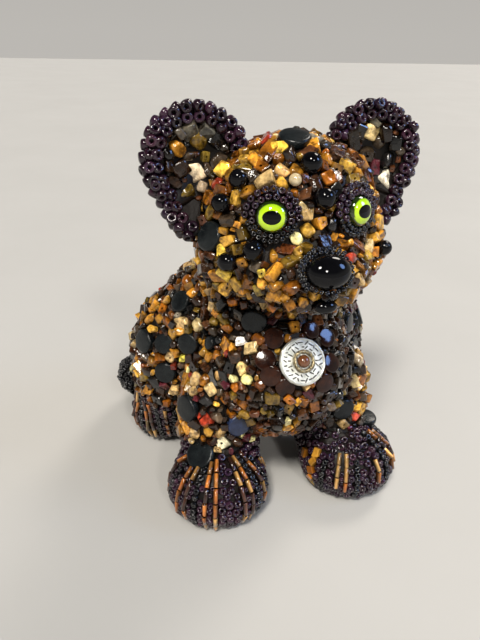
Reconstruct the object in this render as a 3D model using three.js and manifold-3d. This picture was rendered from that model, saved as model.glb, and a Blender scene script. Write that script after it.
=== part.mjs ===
// A sitting spotted cub, covered with a mosaic of stone chips and glass beads.
// Millimetres, +Z up. The cub faces -Y and its own right side is -X. The soles stand on z = 0.
// Each region is a carved core under a closed bead layer. Eyes, nose, medallion, round beads and
// coin beads are separate pieces, let into the layer.

import * as THREE from 'three';
import { mergeVertices } from 'three/addons/utils/BufferGeometryUtils.js';
import Module from 'manifold-3d';

const wasm = await Module();
wasm.setup();

// ---------------------------------------------------------------- driving dimensions
const GAP = 0.3;          // clearance between two pieces that touch
const LAYER = 3.4;        // thickness of the bead and chip layer on the body
const EAR_LAYER = 2.8;    // thickness of the same layer on the ears
const BLEND = 0.35;       // softness of the joins between lobes, 1/mm
const REACH = 90;         // longer than any radius of a lobed body
const PAW_TOP = 26;       // the paws' bead layer ends at this height
const BIG = 400;          // side of a cutting block

// Lobes are ellipsoids: centre and half axes. Neighbouring lobes run softly together.
const HEAD = {
  middle: [0, -19, 107],
  lobes: [
    { at: [0, -14.5, 115.2], size: [31, 23.5, 25.8] },      // skull
    { at: [0, -35.5, 99.5], size: [19.5, 14.5, 12] },       // muzzle and chin
    { at: [20.5, -20.5, 101.5], size: [14, 14, 12] },       // left cheek
    { at: [-20.5, -20.5, 101.5], size: [14, 14, 12] },      // right cheek
  ],
};
const TORSO = {
  middle: [0, 4, 54],
  lobes: [
    { at: [0, -13.5, 50.5], size: [30.3, 27.5, 27] },       // chest
    { at: [0, 17, 53.5], size: [47, 34, 37] },              // back and belly
    { at: [0, -2, 82], size: [28, 24, 22] },                // neck
  ],
};
const FRONT_LEG = {
  middle: [26, -21, 20],
  lobes: [
    { at: [23, -14, 34], size: [17.8, 15, 29] },            // leg
    { at: [28.3, -28.5, 10], size: [19.8, 18.5, 15] },      // paw
  ],
};
const HIND_LEG = {
  middle: [37, 21, 27],
  lobes: [
    { at: [34.4, 21, 39.5], size: [19.4, 22, 35.2] },       // haunch
    { at: [41.4, 27, 10], size: [13.4, 16.5, 13] },         // paw
  ],
};

// An ear is a cupped plate with a round edge. Its outline joins a large and a small disc.
const EAR = {
  at: [31.5, -11.5, 132.2],
  yaw: -3,                // degrees, turned outwards when positive
  tilt: 7,                // degrees, leaning back
  discs: [{ x: 0, y: 0, r: 17.6 }, { x: 1.5, y: -17.5, r: 8.5 }],
  cup: 5.5,               // depth of the cup at its middle
  flare: 1.5,             // most that the plate rises beyond the rim
  edge: 4.4,              // radius of the round edge
  rim: 6.5,               // width of the beaded rim, seen from the front
  core: 2,                // thickness of the plate inside the beads, at least
};

// The tail runs round the right haunch on the ground and turns up at its tip.
const TAIL_PATH = [[-2, 34, 40], [-10, 52, 22], [-28, 56, 10.5], [-44, 49, 12], [-50, 37, 24]];
const TAIL_RADIUS = 9.8;
const TAIL_TIP_AT = 0.72; // share of the tail's length where the dark tip starts

// Round beads, coin beads and the medallion: a place on the body, then sizes. `lift` is how far
// a piece's own middle lies outside the body's surface, and `back` how deep a cabochon reaches.
const EYE = { near: [14.4, -36, 119.7], radius: 4.9, height: 3.3, back: 1.6, lift: 0.9 };
const EYE_RING = { bead: 1.6, play: 0.1, lift: 0.6, widen: 1 };
const NOSE = { near: [0, -48, 105.2], radius: 5.4, height: 4.2, back: 2, lift: 0.4, widen: 1.2 };
const NOSE_RING = { bead: 1, play: 0.2, lift: 0.4, widen: 1.16 };
const MOUTH = { near: [0, -49, 94], radius: 2.2, lift: 0.4, widen: 1.7 };
const MEDALLION = { near: [0, -37, 67.2], radius: 8.5, height: 1.6, lift: 0.1 };
const MEDALLION_RING = { radius: 3.4, wire: 0.8 };
const MEDALLION_STONE = 2.2;   // height of the stone's dome
const BEAD_SHOWS = 0.2;        // a round bead's middle lies this share of its radius outside
const CREAM_BEAD = { near: [-6.5, -33, 129.5], radius: 2 };
const BLACK_BEADS = [
  { near: [-22, -26, 129], radius: 3.1 },
  { near: [-27, -25, 121.7], radius: 3.1 },
  { near: [-19.5, -35, 109], radius: 3.4 },
  { near: [-26.6, -32, 105], radius: 3.1 },
  { near: [-0.8, -31, 133.7], radius: 3.4 },
  { near: [2, -37, 124.6], radius: 3.4 },
  { near: [27.6, -32, 105], radius: 2.6 },
];
const COIN_HEIGHT = 3;
const COIN_LIFT = -0.9;
const HEAD_COINS = [
  { name: 'cheek_coin', near: [-31, -24, 111], radius: 5 },
  { name: 'crown_coin', near: [-2, -20, 140], radius: 5.2 },
];
const TORSO_COINS = [
  { name: 'neck_coin', near: [-15, -24.5, 77.5], radius: 4.7 },
  { name: 'shoulder_coin', near: [-35, -5.5, 61.5], radius: 4.3 },
  { name: 'back_coin', near: [-35, 5.5, 75], radius: 4.4 },
];
const HAUNCH_COINS = [
  { name: 'haunch_coin_front', near: [-44, 1.5, 58.5], radius: 4.2 },
  { name: 'haunch_coin_low', near: [-44.5, -1.5, 45.5], radius: 4.5 },
  { name: 'haunch_coin_side', near: [-51, 11, 56], radius: 5 },
];
const RIGHT_LEG_COINS = [
  { name: 'elbow_coin', near: [-39.5, -20, 42], radius: 5.2 },
  { name: 'right_leg_coin', near: [-20, -29, 37], radius: 4.9 },
  { name: 'right_wrist_coin', near: [-35.5, -27.5, 25.5], radius: 5.7 },
];
const LEFT_LEG_COINS = [
  { name: 'left_leg_coin', near: [23.5, -29.5, 35.8], radius: 4.6 },
];

// ---------------------------------------------------------------- solids and booleans
function toManifold(geometry, matrix = new THREE.Matrix4()) {
  const g = geometry.clone().applyMatrix4(matrix);
  g.deleteAttribute('normal');
  g.deleteAttribute('uv');
  const merged = mergeVertices(g, 1e-3);
  const mesh = new wasm.Mesh({
    numProp: 3,
    vertProperties: new Float32Array(merged.attributes.position.array),
    triVerts: new Uint32Array(merged.index.array),
  });
  return new wasm.Manifold(mesh);
}

function toGeometry(manifold) {
  const mesh = manifold.getMesh();
  const g = new THREE.BufferGeometry();
  g.setAttribute('position', new THREE.BufferAttribute(mesh.vertProperties, 3));
  g.setIndex(new THREE.BufferAttribute(mesh.triVerts, 1));
  return g;
}

const cutAll = (solid, tools) => tools.reduce((left, tool) => left.subtract(tool), solid);

// A block that fills one side of the plane z = height.
function halfSpace(height, above) {
  const block = new THREE.BoxGeometry(BIG, BIG, BIG);
  return toManifold(block.translate(0, 0, height + (above ? BIG : -BIG) / 2));
}

// ---------------------------------------------------------------- lobed bodies
function lobeDistance(p, lobe) {
  const q = [0, 1, 2].map((i) => (p.getComponent(i) - lobe.at[i]) / lobe.size[i]);
  const scaled = Math.hypot(...q);
  const slope = Math.hypot(...q.map((v, i) => v / lobe.size[i]));
  return scaled * (scaled - 1) / Math.max(slope, 1e-9);
}

function softest(distances) {
  const least = Math.min(...distances);
  const sum = distances.reduce((total, d) => total + Math.exp(-BLEND * (d - least)), 0);
  return least - Math.log(sum) / BLEND;
}

const lobedField = (body) => (p) => softest(body.lobes.map((lobe) => lobeDistance(p, lobe)));

// Pushes a sphere's points out from `middle` until they meet the surface field = grow.
function skinned(field, middle, grow, detail, stretch = [1, 1, 1]) {
  const sphere = new THREE.IcosahedronGeometry(1, detail);
  const start = new THREE.Vector3(...middle);
  const squash = new THREE.Vector3(...stretch);
  const spot = new THREE.Vector3();
  const points = sphere.attributes.position;
  for (let i = 0; i < points.count; i += 1) {
    const way = new THREE.Vector3().fromBufferAttribute(points, i).multiply(squash).normalize();
    let near = 0;
    let far = REACH;
    while (far - near > 1e-3) {
      const mid = (near + far) / 2;
      spot.copy(start).addScaledVector(way, mid);
      if (field(spot) < grow) near = mid; else far = mid;
    }
    spot.copy(start).addScaledVector(way, near);
    points.setXYZ(i, spot.x, spot.y, spot.z);
  }
  return sphere;
}

// Bodies that stand on the ground are cut flat at `floor`.
function lobed(body, grow, detail, floor = -grow) {
  const field = lobedField(body);
  const level = (p) => Math.max(field(p) - grow, floor - p.z);
  return toManifold(skinned(level, body.middle, 0, detail));
}

function mirrored(body) {
  const flip = ([x, y, z]) => [-x, y, z];
  const lobes = body.lobes.map((lobe) => ({ at: flip(lobe.at), size: lobe.size }));
  return { middle: flip(body.middle), lobes };
}

// The outer surface, the hollow that holds the core, and the core itself.
function layered(body, detail, coreDetail) {
  return {
    outer: lobed(body, 0, detail, 0),
    wide: lobed(body, GAP, detail),
    hollow: lobed(body, -LAYER, coreDetail),
    core: lobed(body, -LAYER - GAP, coreDetail),
  };
}

// ---------------------------------------------------------------- pieces let into the layer
const UP = new THREE.Vector3(0, 0, 1);

// Slides a nearby point onto a body's surface and turns local +Y along the surface's normal.
function seat(body, near, lift = 0) {
  const field = lobedField(body);
  const p = new THREE.Vector3(...near);
  const normal = new THREE.Vector3();
  const step = 0.05;
  for (let round = 0; round < 8; round += 1) {
    for (let axis = 0; axis < 3; axis += 1) {
      const ahead = p.clone().setComponent(axis, p.getComponent(axis) + step);
      const behind = p.clone().setComponent(axis, p.getComponent(axis) - step);
      normal.setComponent(axis, field(ahead) - field(behind));
    }
    normal.normalize();
    p.addScaledVector(normal, -field(p));
  }
  const side = new THREE.Vector3().crossVectors(normal, UP).normalize();
  const fore = new THREE.Vector3().crossVectors(side, normal);
  return new THREE.Matrix4().makeBasis(side, normal, fore)
    .setPosition(p.addScaledVector(normal, lift));
}

function lathe(profile, segments) {
  return new THREE.LatheGeometry(profile.map(([r, y]) => new THREE.Vector2(r, y)), segments);
}

// Each shape takes an allowance, so that the same function makes the piece and its pocket.
const roundBead = (radius) => (allow) => new THREE.SphereGeometry(radius + allow, 8, 6);

const coinBead = (radius, height) => (allow) => {
  const r = radius + allow;
  const h = height / 2 + allow;
  return lathe([[0, -h], [r, -h], [r, h], [0, h]], 12);
};

// A cabochon: a flat back at y = -back and a dome that rises to y = height.
const cabochon = ({ radius, height, back, widen = 1 }) => (allow) => {
  const steps = 3;
  const profile = [[0, -back - allow], [radius + allow, -back - allow]];
  for (let i = 0; i < steps; i += 1) {
    const turn = (i / steps) * (Math.PI / 2);
    profile.push([(radius + allow) * Math.cos(turn), (height + allow) * Math.sin(turn)]);
  }
  profile.push([0, height + allow]);
  return lathe(profile, 12).scale(widen, 1, 1);
};

const beadRing = (radius, bead, widen = 1) => (allow) => (
  new THREE.TorusGeometry(radius, bead + allow, 5, 12).rotateX(Math.PI / 2).scale(widen, 1, 1)
);

// The ring of seed beads that lies close round a cabochon.
const ringAround = (stone, ring) => (
  beadRing(stone.radius + GAP + ring.bead + ring.play, ring.bead, ring.widen)
);

// ---------------------------------------------------------------- finishes
const finish = (color, roughness, metalness = 0) => ({ color, roughness, metalness });
const FINISH = {
  core: finish(0xb79a6c, 0.8),
  goldStone: finish(0x8a5a22, 0.2),
  greyStone: finish(0x6d6357, 0.2),
  purpleGlass: finish(0x2a1420, 0.12),
  blackGlass: finish(0x0b0b0d, 0.1),
  eye: finish(0x9ad616, 0.05),
  cream: finish(0xd9c9a0, 0.2),
  amber: finish(0x8a4a12, 0.15),
  silver: finish(0xd8dad6, 0.3, 0.8),
};

const figure = new THREE.Group();

function addMesh(name, geometry, look, matrix = new THREE.Matrix4()) {
  const mesh = new THREE.Mesh(geometry, new THREE.MeshStandardMaterial(look));
  mesh.name = name;
  mesh.applyMatrix4(matrix);
  figure.add(mesh);
}

// Adds one piece that is let into the layer, and keeps the pocket that everything else needs.
const pockets = [];
function inlay(name, shape, look, place) {
  addMesh(name, shape(0), look, place);
  pockets.push(toManifold(shape(GAP), place));
}

// ---------------------------------------------------------------- face
function facePieces() {
  for (const [side, sign] of [['left', 1], ['right', -1]]) {
    const near = [sign * EYE.near[0], EYE.near[1], EYE.near[2]];
    inlay(`${side}_eye`, cabochon(EYE), FINISH.eye, seat(HEAD, near, EYE.lift));
    const ringPlace = seat(HEAD, near, EYE_RING.lift);
    inlay(`${side}_eye_bead_ring`, ringAround(EYE, EYE_RING), FINISH.purpleGlass, ringPlace);
  }
  inlay('nose_cabochon', cabochon(NOSE), FINISH.blackGlass, seat(HEAD, NOSE.near, NOSE.lift));
  const noseRingPlace = seat(HEAD, NOSE.near, NOSE_RING.lift);
  inlay('nose_bead_ring', ringAround(NOSE, NOSE_RING), FINISH.blackGlass, noseRingPlace);
  const mouth = (allow) => roundBead(MOUTH.radius)(allow).scale(MOUTH.widen, 1, 1);
  inlay('mouth_bead', mouth, FINISH.blackGlass, seat(HEAD, MOUTH.near, MOUTH.lift));
  const faceBead = (name, { near, radius }, look) => (
    inlay(name, roundBead(radius), look, seat(HEAD, near, BEAD_SHOWS * radius))
  );
  BLACK_BEADS.forEach((bead, i) => faceBead(`black_face_bead_${i + 1}`, bead, FINISH.blackGlass));
  faceBead('cream_face_bead', CREAM_BEAD, FINISH.cream);
}

function coinPieces(body, coins) {
  coins.forEach(({ name, near, radius }) => {
    inlay(name, coinBead(radius, COIN_HEIGHT), FINISH.blackGlass, seat(body, near, COIN_LIFT));
  });
}

// The disc lies in the chest's layer. The twisted ring and the stone lie on the disc.
function medallionPieces() {
  const { near, radius, height, lift } = MEDALLION;
  const { radius: ringRadius, wire } = MEDALLION_RING;
  const top = lift + height / 2 + GAP;
  inlay('medallion_disc', coinBead(radius, height), FINISH.silver, seat(TORSO, near, lift));
  const ringPlace = seat(TORSO, near, top + wire);
  inlay('medallion_ring', beadRing(ringRadius, wire), FINISH.silver, ringPlace);
  const stone = { radius: ringRadius - wire - GAP, height: MEDALLION_STONE, back: 0 };
  inlay('medallion_stone', cabochon(stone), FINISH.amber, seat(TORSO, near, top));
}

// ---------------------------------------------------------------- ears
// Ear frame: x to the cub's left, y up, z to the front. `sign` is 1 on the left and -1 on the right.
const flatDistance = (x, y, sign) => (
  softest(EAR.discs.map((disc) => Math.hypot(x - sign * disc.x, y - disc.y) - disc.r))
);

// How far the plate's middle surface lies behind the rim, at a distance r from its middle.
const earSink = (r) => Math.max(EAR.cup * (1 - (r / EAR.discs[0].r) ** 2), -EAR.flare);

const earField = (sign) => (p) => {
  const beyond = Math.max(flatDistance(p.x, p.y, sign) + EAR.edge, 0);
  return Math.hypot(beyond, p.z + earSink(Math.hypot(p.x, p.y))) - EAR.edge;
};

// A prism inside the rim, which parts the rim from the ear's two faces.
function earPrism(sign, inset) {
  const outline = [];
  const corners = 16;
  for (let i = 0; i < corners; i += 1) {
    const way = new THREE.Vector2(1, 0).rotateAround(new THREE.Vector2(), (i / corners) * 2 * Math.PI);
    let r = 0;
    while (flatDistance(r * way.x, r * way.y, sign) < -inset) r += 0.1;
    outline.push(way.multiplyScalar(r));
  }
  const options = { depth: BIG, bevelEnabled: false };
  return new THREE.ExtrudeGeometry(new THREE.Shape(outline), options).translate(0, 0, -BIG / 2);
}

// Everything in front of the plate's middle surface, moved forward by `shift`.
function earFrontSide(shift) {
  const reach = 2.5 * EAR.discs[0].r;
  const steps = 5;
  const profile = [];
  for (let i = 0; i <= steps; i += 1) {
    const r = (reach * i) / steps;
    profile.push([r, -earSink(r)]);
  }
  return lathe([...profile, [reach, BIG], [0, BIG]], 12).rotateX(Math.PI / 2).translate(0, 0, shift);
}

function earPlace(sign) {
  const yaw = THREE.MathUtils.degToRad(EAR.yaw);
  const tilt = THREE.MathUtils.degToRad(EAR.tilt);
  const front = new THREE.Vector3(sign * Math.sin(yaw), -Math.cos(yaw), Math.tan(tilt)).normalize();
  const across = new THREE.Vector3().crossVectors(UP, front).normalize();
  const rise = new THREE.Vector3().crossVectors(front, across);
  return new THREE.Matrix4().makeBasis(across, rise, front)
    .setPosition(sign * EAR.at[0], EAR.at[1], EAR.at[2]);
}

function ear(side, sign, head) {
  const place = earPlace(sign);
  const middle = [0, -3, -EAR.cup];
  const flatten = [1, 1, 0.45];
  const plate = (grow, detail) => (
    toManifold(skinned(earField(sign), middle, grow, detail, flatten), place)
  );
  const hollow = plate(-EAR_LAYER, 3);
  const core = plate(-EAR_LAYER - GAP, 3).subtract(head.hollow);
  const layer = cutAll(plate(0, 4), [hollow, head.wide]);
  const rim = layer.subtract(toManifold(earPrism(sign, EAR.rim), place));
  const faces = layer.intersect(toManifold(earPrism(sign, EAR.rim + GAP), place));
  const front = faces.intersect(toManifold(earFrontSide(EAR.core / 2), place));
  const back = faces.subtract(toManifold(earFrontSide(-EAR.core / 2), place));
  addMesh(`${side}_ear_core`, toGeometry(core), FINISH.core);
  addMesh(`${side}_ear_rim_beads`, toGeometry(rim), FINISH.purpleGlass);
  addMesh(`${side}_ear_front_mosaic`, toGeometry(front), FINISH.greyStone);
  addMesh(`${side}_ear_back_mosaic`, toGeometry(back), FINISH.goldStone);
  return hollow;
}

// ---------------------------------------------------------------- legs
function leg(name, torso, solids, cuts) {
  const layer = cutAll(solids.outer, [solids.hollow, torso.wide, ...cuts]);
  const core = cutAll(solids.core, [torso.hollow, ...cuts]);
  const above = halfSpace(PAW_TOP + GAP / 2, true);
  const below = halfSpace(PAW_TOP - GAP / 2, false);
  addMesh(`${name}_leg_core`, toGeometry(core), FINISH.core);
  addMesh(`${name}_leg_mosaic`, toGeometry(layer.intersect(above)), FINISH.goldStone);
  addMesh(`${name}_paw_beads`, toGeometry(layer.intersect(below)), FINISH.purpleGlass);
}

// ---------------------------------------------------------------- tail
function tailSolid(radius) {
  const path = new THREE.CatmullRomCurve3(TAIL_PATH.map((p) => new THREE.Vector3(...p)));
  const round = new THREE.Shape().absarc(0, 0, radius, 0, 2 * Math.PI);
  const options = { steps: 10, curveSegments: 5, bevelEnabled: false, extrudePath: path };
  const tube = toManifold(new THREE.ExtrudeGeometry(round, options));
  const tip = new THREE.SphereGeometry(radius, 10, 8);
  const end = path.getPoint(1);
  return tube.add(toManifold(tip.translate(end.x, end.y, end.z)));
}

// A block beyond the parting of the tail's dark tip, square to its path.
function tailTipBlock(shift) {
  const path = new THREE.CatmullRomCurve3(TAIL_PATH.map((p) => new THREE.Vector3(...p)));
  const at = path.getPoint(TAIL_TIP_AT);
  const way = path.getTangent(TAIL_TIP_AT);
  const turn = new THREE.Quaternion().setFromUnitVectors(UP, way);
  const block = new THREE.BoxGeometry(BIG, BIG, BIG).translate(0, 0, BIG / 2 + shift);
  return toManifold(block, new THREE.Matrix4().compose(at, turn, new THREE.Vector3(1, 1, 1)));
}

function tail(torso, hindLeg) {
  const ground = halfSpace(0, false);
  const hollow = tailSolid(TAIL_RADIUS - LAYER);
  const layer = cutAll(tailSolid(TAIL_RADIUS), [hollow, torso.wide, hindLeg.wide, ground]);
  const core = cutAll(tailSolid(TAIL_RADIUS - LAYER - GAP), [torso.hollow, hindLeg.wide]);
  addMesh('tail_core', toGeometry(core), FINISH.core);
  addMesh('tail_mosaic', toGeometry(layer.subtract(tailTipBlock(-GAP / 2))), FINISH.goldStone);
  addMesh('tail_tip_beads', toGeometry(layer.intersect(tailTipBlock(GAP / 2))), FINISH.blackGlass);
  return hollow;
}

// ---------------------------------------------------------------- assembly
const head = layered(HEAD, 4, 2);
const torso = layered(TORSO, 4, 2);
const rightFront = layered(mirrored(FRONT_LEG), 4, 1);
const leftFront = layered(FRONT_LEG, 4, 1);
const rightHind = layered(mirrored(HIND_LEG), 4, 1);
const leftHind = layered(HIND_LEG, 4, 1);

facePieces();
medallionPieces();
coinPieces(HEAD, HEAD_COINS);
coinPieces(TORSO, TORSO_COINS);
coinPieces(mirrored(HIND_LEG), HAUNCH_COINS);
coinPieces(mirrored(FRONT_LEG), RIGHT_LEG_COINS);
coinPieces(FRONT_LEG, LEFT_LEG_COINS);
const inlaid = pockets.reduce((all, pocket) => all.add(pocket));

leg('right_front', torso, rightFront, [inlaid]);
leg('left_front', torso, leftFront, [inlaid]);
leg('right_hind', torso, rightHind, [rightFront.wide, inlaid]);
leg('left_hind', torso, leftHind, [leftFront.wide, inlaid]);
const tailHollow = tail(torso, rightHind);
const earHollows = [ear('left', 1, head), ear('right', -1, head)];

const headLayer = cutAll(head.outer, [head.hollow, torso.wide, ...earHollows, inlaid]);
addMesh('head_core', toGeometry(cutAll(head.core, [torso.hollow, inlaid])), FINISH.core);
addMesh('head_mosaic', toGeometry(headLayer), FINISH.goldStone);

const limbHollows = [rightFront, leftFront, rightHind, leftHind].map((solids) => solids.hollow);
const torsoCuts = [torso.hollow, head.hollow, tailHollow, ...limbHollows, inlaid];
addMesh('torso_core', toGeometry(torso.core.subtract(inlaid)), FINISH.core);
addMesh('torso_mosaic', toGeometry(cutAll(torso.outer, torsoCuts)), FINISH.goldStone);

// The origin is under the middle of the figure, on the ground.
const extent = new THREE.Box3().setFromObject(figure);
const middle = extent.getCenter(new THREE.Vector3());
figure.position.set(-middle.x, -middle.y, -extent.min.z);

export default figure;
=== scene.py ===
import math

import bmesh
import bpy
import numpy as np
from mathutils import Matrix, Vector
from mathutils.bvhtree import BVHTree
from mathutils.kdtree import KDTree


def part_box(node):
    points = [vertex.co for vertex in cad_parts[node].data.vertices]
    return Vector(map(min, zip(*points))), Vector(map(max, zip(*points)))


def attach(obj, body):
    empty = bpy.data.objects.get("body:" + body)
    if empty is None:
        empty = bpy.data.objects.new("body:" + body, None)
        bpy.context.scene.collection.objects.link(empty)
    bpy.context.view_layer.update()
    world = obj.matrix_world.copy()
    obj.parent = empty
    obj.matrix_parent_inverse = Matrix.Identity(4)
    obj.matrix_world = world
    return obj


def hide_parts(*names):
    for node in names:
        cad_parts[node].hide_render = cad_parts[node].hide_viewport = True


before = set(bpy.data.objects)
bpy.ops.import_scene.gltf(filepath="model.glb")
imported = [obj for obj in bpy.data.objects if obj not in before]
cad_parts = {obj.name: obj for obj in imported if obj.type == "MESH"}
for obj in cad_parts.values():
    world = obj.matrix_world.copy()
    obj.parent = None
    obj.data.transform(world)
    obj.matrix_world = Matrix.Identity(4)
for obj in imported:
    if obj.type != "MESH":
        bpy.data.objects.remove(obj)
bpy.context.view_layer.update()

# A sitting cub whose whole skin is a mosaic: polished stone chips, glass seed beads, bugle beads
# and coin beads, pressed into dark adhesive whose colour is partly painted shade. Lengths are millimetres
# until a mesh is made.
MM = 0.001
draw = np.random.default_rng(7)

# ---------------------------------------------------------------- camera, light and floor
CAMERA_AZIMUTH = -17.9
CAMERA_ELEVATION = 27.6
CAMERA_ROLL = 1.6
CAMERA_DISTANCE = 222.8
CAMERA_LENS = 30.63
CAMERA_AIM = (-8.19, -1.77, 64.4)

# Soft distant lights: azimuth and elevation they shine from, width of the disc in degrees, strength,
# colour, and whether they light surfaces, show in reflections, or do both.
LIGHTS = {
    "key_light": (-38, 56, 12, 3.0, (1.0, 0.95, 0.86), "both"),
    "front_light": (6, 36, 7, 0.8, (1.0, 0.96, 0.90), "both"),
    "window_light": (64, 34, 18, 1.35, (0.28, 0.48, 1.0), "reflections"),
    "window_fill": (64, 34, 24, 0.75, (0.58, 0.74, 1.0), "surfaces"),
    "back_light": (122, 46, 18, 1.3, (1.0, 0.93, 0.84), "both"),
    "sky_light": (-30, 66, 26, 1.1, (1.0, 0.97, 0.92), "surfaces"),
}
# World light: height up the sky, colour. Pale round the horizon, dark overhead.
SKY = [(0.0, (0.50, 0.48, 0.45)), (0.27, (0.43, 0.415, 0.39)), (0.46, (0.065, 0.062, 0.062))]
FLOOR_DARK, FLOOR_PALE = (0.395, 0.388, 0.375), (0.415, 0.408, 0.395)
FLOOR_SIZE = 8000

# ---------------------------------------------------------------- stone and glass colours
STONE = {
    "gold": (0.43, 0.205, 0.024), "honey": (0.64, 0.36, 0.055), "amber": (0.26, 0.090, 0.008),
    "chestnut": (0.090, 0.032, 0.012), "umber": (0.028, 0.014, 0.008), "cream": (0.66, 0.48, 0.23),
    "ivory": (0.70, 0.61, 0.46), "olive": (0.175, 0.115, 0.018), "smoke": (0.062, 0.046, 0.033),
    "grey": (0.23, 0.20, 0.16), "jasper": (0.30, 0.038, 0.020), "plum": (0.080, 0.016, 0.026),
    "jet": (0.008, 0.008, 0.009),
}
GLASS = {
    "purple": (0.018, 0.0065, 0.014), "black": (0.004, 0.004, 0.005), "topaz": (0.17, 0.058, 0.010),
    "straw": (0.27, 0.150, 0.045), "brown": (0.032, 0.012, 0.007),
}
FACE_MIX = {"gold": 22, "honey": 11, "amber": 15, "chestnut": 14, "umber": 15, "cream": 7, "olive": 8,
            "smoke": 9, "grey": 2, "jasper": 2, "ivory": 1, "jet": 3}
MUZZLE_MIX = {"gold": 26, "honey": 12, "amber": 15, "chestnut": 12, "olive": 13, "cream": 5,
              "jasper": 2, "umber": 17, "smoke": 5}
EAR_MIX = {"smoke": 24, "umber": 18, "grey": 15, "ivory": 13, "plum": 7, "olive": 7, "amber": 5,
           "cream": 5, "gold": 4, "jasper": 2, "jet": 6}
BODY_MIX = {"gold": 17, "honey": 9, "amber": 13, "chestnut": 15, "umber": 18, "cream": 8, "olive": 7,
            "smoke": 9, "grey": 2, "jasper": 2, "plum": 3, "jet": 8}
CHEST_MIX = {"smoke": 22, "umber": 32, "chestnut": 14, "grey": 2, "jet": 20, "olive": 3, "amber": 4,
             "plum": 3}
BELLY_MIX = {"gold": 9, "honey": 3, "amber": 13, "chestnut": 18, "umber": 24, "olive": 14, "smoke": 12,
             "cream": 2, "jet": 5}
LEG_MIX = {"cream": 13, "honey": 11, "gold": 12, "jasper": 5, "chestnut": 15, "umber": 19, "amber": 8,
           "ivory": 4, "smoke": 11, "plum": 5, "jet": 4}
# Mostly dark stones for the small chips in the gaps: painted shade of the gaps.
FILL_SHADE_MIX = {"umber": 36, "chestnut": 18, "smoke": 14, "amber": 8, "jet": 22, "gold": 4}

# ---------------------------------------------------------------- the CAD skins
GROUND = 0.05           # beads are pressed flat where they'd reach under this height
CLEAR = 0.9             # an outer face has this much free space in front of it
SINK = 1.7              # the adhesive lies this far under the tops of the beads
CANDIDATES = 3.0        # places tried for each square millimetre
OFF_FACE = 0.05         # a ray that starts on a face starts this far in front of it
UNDERSIDE = 1.2         # faces that look down take no beads below this height
LOOKS_DOWN = -0.7       # such a face's normal has a smaller z than this


def read_solid(node):
    """A CAD node's welded vertices and its triangles."""
    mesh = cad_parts[node].data
    mesh.calc_loop_triangles()
    points = np.empty(len(mesh.vertices) * 3)
    mesh.vertices.foreach_get("co", points)
    corners = np.empty(len(mesh.loop_triangles) * 3, int)
    mesh.loop_triangles.foreach_get("vertices", corners)
    rounded = np.round(points.reshape(-1, 3) / MM, 3)
    welded, where = np.unique(rounded, axis=0, return_inverse=True)
    triangles = where.reshape(-1)[corners].reshape(-1, 3)
    keep = (triangles[:, 0] != triangles[:, 1]) & (triangles[:, 1] != triangles[:, 2])
    keep &= triangles[:, 2] != triangles[:, 0]
    return welded, triangles[keep]


def face_normals(points, triangles):
    a, b, c = (points[triangles[:, i]] for i in range(3))
    cross = np.cross(b - a, c - a)
    size = np.linalg.norm(cross, axis=1)
    return cross / np.maximum(size, 1e-12)[:, None], size / 2


SOLIDS = {node: read_solid(node) for node in sorted(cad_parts)}


def whole_tree():
    """One search tree of every CAD node, and the node that each of its triangles belongs to."""
    points, triangles, owner, start = [], [], [], 0
    for node, (verts, tris) in SOLIDS.items():
        points.append(verts)
        triangles.append(tris + start)
        owner += [node] * len(tris)
        start += len(verts)
    tree = BVHTree.FromPolygons(np.concatenate(points).tolist(), np.concatenate(triangles).tolist())
    return tree, owner


TREE, OWNER = whole_tree()


def is_open(point, normal):
    start = Vector(point) + Vector(normal) * OFF_FACE
    return TREE.ray_cast(start, Vector(normal), CLEAR)[0] is None


def outer_faces(node):
    """Which of a node's triangles are part of the figure's outer surface."""
    verts, tris = SOLIDS[node]
    normals, areas = face_normals(verts, tris)
    corners = verts[tris]
    middles = corners.mean(axis=1)
    found = np.zeros(len(tris), bool)
    for i in np.flatnonzero(areas > 1e-4):
        spots = [middles[i]] + [0.25 * middles[i] + 0.75 * corner for corner in corners[i]]
        found[i] = any(is_open(spot, normals[i]) for spot in spots)
    return found, normals, areas


OUTER = {}


def outer(node):
    if node not in OUTER:
        OUTER[node] = outer_faces(node)
    return OUTER[node]


def candidates(node):
    """Evenly random places on a node's outer surface, with the surface's normals."""
    verts, tris = SOLIDS[node]
    found, normals, areas = outer(node)
    chosen = np.flatnonzero(found)
    count = int(areas[chosen].sum() * CANDIDATES)
    picks = draw.choice(chosen, count, p=areas[chosen] / areas[chosen].sum())
    u, v = draw.random((2, count))
    flip = u + v > 1
    u[flip] = 1 - u[flip]
    v[flip] = 1 - v[flip]
    a, b, c = (verts[tris[picks, i]] for i in range(3))
    spots = a + (b - a) * u[:, None] + (c - a) * v[:, None]
    usable = [is_open(p, n) and not (p[2] < UNDERSIDE and n[2] < LOOKS_DOWN)
              for p, n in zip(spots, normals[picks])]
    return spots[usable], normals[picks][usable]


TAKEN = []              # (place, radius) of everything already on the skin


def take(spot, radius):
    TAKEN.append((tuple(spot), radius))


def scatter(places, stages, pack=0.9):
    """Fills the places with discs that don't overlap, stage by stage: (radius, most that go in).
    Returns the index and radius of each disc."""
    tree = KDTree(len(places))
    for i, place in enumerate(places):
        tree.insert(place, i)
    tree.balance()
    found = []
    for radius, most in stages:
        free = np.ones(len(places), bool)
        for place, other in TAKEN:
            for _, i, _ in tree.find_range(place, pack * (radius + other)):
                free[i] = False
        made = 0
        for i in draw.permutation(len(places)):
            if not free[i] or made >= most:
                continue
            for _, j, _ in tree.find_range(places[i], pack * 2 * radius):
                free[j] = False
            take(places[i], radius)
            found.append((i, radius))
            made += 1
    return found


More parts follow.
